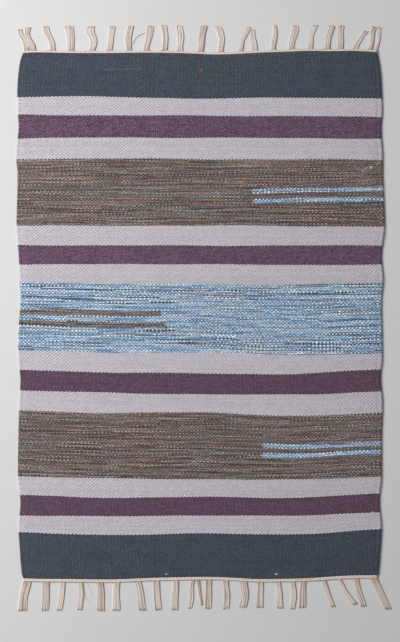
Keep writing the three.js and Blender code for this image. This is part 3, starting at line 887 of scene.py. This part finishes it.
class Yarns:
    """Tubes of two-ply yarn gathered into one mesh."""

    def __init__(self):
        self.points, self.triangles, self.colours, self.twists, self.count = [], [], [], [], 0

    def add(self, path, radii, colours, flatness=1):
        """A tube along a path, and how its two plies wind round it."""
        steps, sides = len(path), STRAND_SIDES
        radii, colours = np.broadcast_to(radii, steps), np.broadcast_to(colours, (steps, 3))
        ahead = np.gradient(path, axis=0)
        ahead /= np.linalg.norm(ahead, axis=1, keepdims=True)
        sideways = np.cross(ahead, (0, 0, 1))
        sideways /= np.linalg.norm(sideways, axis=1, keepdims=True)
        upward = np.cross(sideways, ahead) * flatness
        angle = np.arange(sides)[:, None] / sides * 2 * np.pi
        around = np.cos(angle) * sideways[:, None] + np.sin(angle) * upward[:, None]
        ring = path[:, None] + radii[:, None, None] * around
        step, side = np.meshgrid(np.arange(steps - 1), np.arange(sides), indexing="ij")
        step, side = step.reshape(-1, 1), side.reshape(-1, 1)
        fan = np.arange(1, sides - 1)[:, None]
        start, end = fan * (0, 0, 0), fan * (0, 0, 0) + steps - 1
        start_sides, end_sides = fan * (0, 1, 1) + (0, 0, 1), fan * (0, 1, 1) + (0, 1, 0)
        step = np.concatenate([step + (0, 1, 0), step + (0, 1, 1), start, end])
        side = np.concatenate([side + (0, 1, 1), side + (0, 0, 1), start_sides, end_sides])
        wound = length_along(path) / TWIST_PITCH + random.random()
        twist = 4 * np.pi * (side / sides - wound[step])
        self.points.append(ring.reshape(-1, 3))
        self.triangles.append(step * sides + side % sides + self.count)
        self.colours.append(colours[step].reshape(-1, 3))
        self.twists.append(np.stack([twist, step / steps], -1).reshape(-1, 2))
        self.count += steps * sides

    def piece(self, name):
        """The finished object, with its colours, its twist and a layout of narrow strips."""
        made = triangle_mesh(name, np.concatenate(self.points), np.concatenate(self.triangles))
        paint(made, np.concatenate(self.colours))
        strips = []
        columns = (len(self.twists) + 1) // 2
        for index, twists in enumerate(self.twists):
            row, column = divmod(index, columns)
            around = np.mod(twists[:, 0] / (4 * np.pi), 1)
            across = (column + STRIP_MARGIN + (1 - 2 * STRIP_MARGIN) * around) / columns
            down = LAYOUT_MARGIN + 0.5 * row + (0.5 - 2 * LAYOUT_MARGIN) * twists[:, 1]
            strips.append(np.stack([across, down], 1))
        corner_map(made, "OFBake", np.concatenate(strips))
        corner_map(made, "Twist", np.concatenate(self.twists))
        made.data.materials.append(WARP_FINISH)
        return made


def lock_line(tassel, outward, share):
    """A point of the line that the solids' locks follow, at a share of the tassel's reach."""
    edge = end_y(outward, tassel.root) + outward * ROOT_GAP
    root = np.array([tassel.root, edge])
    middle = np.array([tassel.middle, edge + outward * tassel.reach / 2])
    tip = np.array([tassel.tip, edge + outward * tassel.reach])
    if share < 0.5:
        return curve(root, root, middle, tip, 2 * share)
    return curve(root, middle, tip, tip, 2 * share - 1)


Lock = namedtuple("Lock", "place sway bends phase rise")


def locks_of(tassel, sways):
    """The locks that a tassel parts into: where each lies across it, from -0.5 to 0.5, how it
    sways, and how high it lies on the others."""
    count = max(2, int(round(tassel.locks * LOCK_SHARE)))
    sway, bends, phase = (random.uniform(*span) for span in (sways, TASSEL_BENDS, (0, 2 * np.pi)))
    return [
        Lock((i + 0.5) / count - 0.5, sway * random.normal(1, LOCK_UNEVENNESS), bends,
             phase + random.normal(0, LOCK_UNEVENNESS), random.uniform(0, LOCK_RISE))
        for i in range(count)
    ]


def strand_path(tassel, warp_x, place, lock, layer, outward, heading):
    """One strand: out of the cloth, sideways in the heading, and down its tassel, at a place
    across it from -0.5 to 0.5."""
    edge = end_y(outward, warp_x)
    root_x = tassel.root + place * tassel.root_spread
    pull = root_x - warp_x
    rise = STRAND_RADIUS * STRAND_FLATNESS + LAYER_RISE * layer
    out = heading + random.uniform(*HEADING_SPREAD)
    points = []
    for row in EXITS:
        y = edge + outward * (row.heading * out + row.out)
        points.append((warp_x + row.sideways * pull, y, row.height + row.by_layer * layer))
    wander = random.normal(0, STRAND_WANDER)
    clump = lock.place + (place - lock.place) * LOCK_TIGHTNESS
    for share in TASSEL_SHARES:
        across = place * tassel.root_spread * (1 - share) + clump * tassel.tip_spread * share
        x, y = lock_line(tassel, outward, share)
        lift = ROOT_BULK * (1 - share) ** 2 + lock.rise * min(1, RISE_RATE * share)
        sway = lock.sway * min(1, SWAY_RATE * share) * np.sin(lock.bends * share + lock.phase)
        points.append((x + across + sway + wander * share, y, rise + lift))
    return spline(points)


def fringe(name, tassels, twines, threads, outward, warps_x, tint):
    """The heading and tassels of one end, made of the cloth's own warp."""
    yarns = Yarns()
    roots = np.array([tassel.root for tassel in tassels])
    strands_x = np.repeat(warps_x, STRANDS_PER_WARP)
    owner = np.abs(strands_x[:, None] - roots[None]).argmin(1)
    along = np.linspace(0, 1, STRAND_STEPS)
    radii = STRAND_RADIUS * np.interp(along, STRAND_PLACES, STRAND_TAPER)
    # Painted shade: rose near the roots, where the strands gather out of the heading
    root_shade = ROOT_SHADE_SHARE * np.interp(along, ROOT_SHADE_PLACES, ROOT_SHADE)[:, None]
    for index, tassel in enumerate(tassels):
        own = strands_x[owner == index]
        locks = locks_of(tassel, FAR_SWAY if outward > 0 else NEAR_SWAY)
        for number, warp_x in enumerate(own):
            place = (number + 0.5) / len(own) - 0.5
            lock = locks[int((place + 0.5) * len(locks))]
            layer = number % 2 if random.random() < LAYERED_SHARE else 0.5
            path = strand_path(tassel, warp_x, place, lock, layer, outward, twines[-1].offset)
            short = random.uniform(0, TIP_UNEVENNESS) / tassel.reach
            path = path[0] + (path - path[0]) * (1, 1 - short, 1)
            # Real dirt all along some strands, on top of the painted root shade
            dirt_and_shade = root_shade + random.beta(*STRAND_DIRT)
            colour = np.array(CREAM) + (np.array(ROSE) - CREAM) * dirt_and_shade
            colour = linear(np.clip(colour * tint * random.normal(1, STRAND_TONE), 0, 255))
            yarns.add(path, radii, colour, STRAND_FLATNESS)
    for row in twines:
        twine(yarns, row, outward)
    for thread in threads:
        yarns.add(spline(thread.points), thread.radius, linear(thread.colour))
    piece = yarns.piece("warp_" + name)
    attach(piece, "root")
    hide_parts(name)
    return piece


def twine(yarns, row, outward):
    """Two yarns twined round each other along an end of the cloth."""
    x = np.linspace(-TWINE_HALF_LENGTH, TWINE_HALF_LENGTH, WARPS * TWINE_STEPS_PER_WARP + 1)
    y = end_y(outward, x) + outward * row.offset
    for start in (0, np.pi):
        turn = (x / (2 * CLOTH_HALF_WIDTH)) * WARPS * np.pi / 2 + start
        swing, rise = TWINE_SWING * np.cos(turn), TWINE_RISE * np.sin(turn)
        path = np.stack([x, y + swing, row.height + rise], 1)
        yarns.add(path, row.radius, linear(row.colour))


def place_camera():
    """Above the rug, framed as in the photograph."""
    data = bpy.data.cameras.new("camera")
    data.lens = LENS
    camera = show("camera", data)
    distance = PHOTO_HEIGHT * MM_PER_PIXEL * data.lens / data.sensor_width
    place = MIDDLE + np.array([0, PHOTO_CENTRE_Y, CLOTH_THICKNESS + distance])
    camera.location = place * MM
    bpy.context.scene.camera = camera


def light_studio():
    """A wide soft light from the upper left and an even pale surround."""
    key = bpy.data.lights.new("key", "AREA")
    key.shape = "DISK"
    key.size = LAMP_SIZE
    key.energy = LAMP_POWER
    key.color = LAMP_COLOUR
    lamp = show("key", key)
    lamp.location = LAMP_PLACE
    lamp.rotation_euler = (-lamp.location).to_track_quat("-Z", "Y").to_euler()
    world = bpy.data.worlds.new("surround")
    world.use_nodes = True
    sky = world.node_tree.nodes["Background"]
    sky.inputs["Color"].default_value = SURROUND_COLOUR
    sky.inputs["Strength"].default_value = SURROUND_STRENGTH
    bpy.context.scene.world = world
    bpy.context.scene.view_settings.view_transform = "Standard"


def lay_floor():
    """A plain pale floor under the rug."""
    a, b = -FLOOR_REACH, FLOOR_REACH
    mesh = bpy.data.meshes.new("floor")
    mesh.from_pydata([(a, a, 0), (b, a, 0), (b, b, 0), (a, b, 0)], [], [(0, 1, 2, 3)])
    floor = show("floor", mesh)
    floor.location.z = -FLOOR_DROP
    shades = Shades("floor_paint")
    grain = shades.add("TexNoise", {"Scale": FLOOR_GRAIN, "Detail": 2}).outputs["Fac"]
    tone = shades.brighten(FLOOR_COLOUR, shades.about_one(grain, FLOOR_TONE))
    mesh.materials.append(shades.finish(tone, grain, FLOOR_RELIEF, FLOOR_ROUGHNESS, 0))


place_camera()
light_studio()
lay_floor()
bands = weave_bands()
warps_x = (WARP_SHARES - 0.5) * 2 * (CLOTH_HALF_WIDTH - WARP_INSET)
fringe_top = fringe("fringe_top", FAR_TASSELS, FAR_TWINES, FAR_THREADS, 1, warps_x, FAR_TINT)
fringe_bottom = fringe("fringe_bottom", NEAR_TASSELS, NEAR_TWINES, NEAR_THREADS, -1, warps_x, NEAR_TINT)
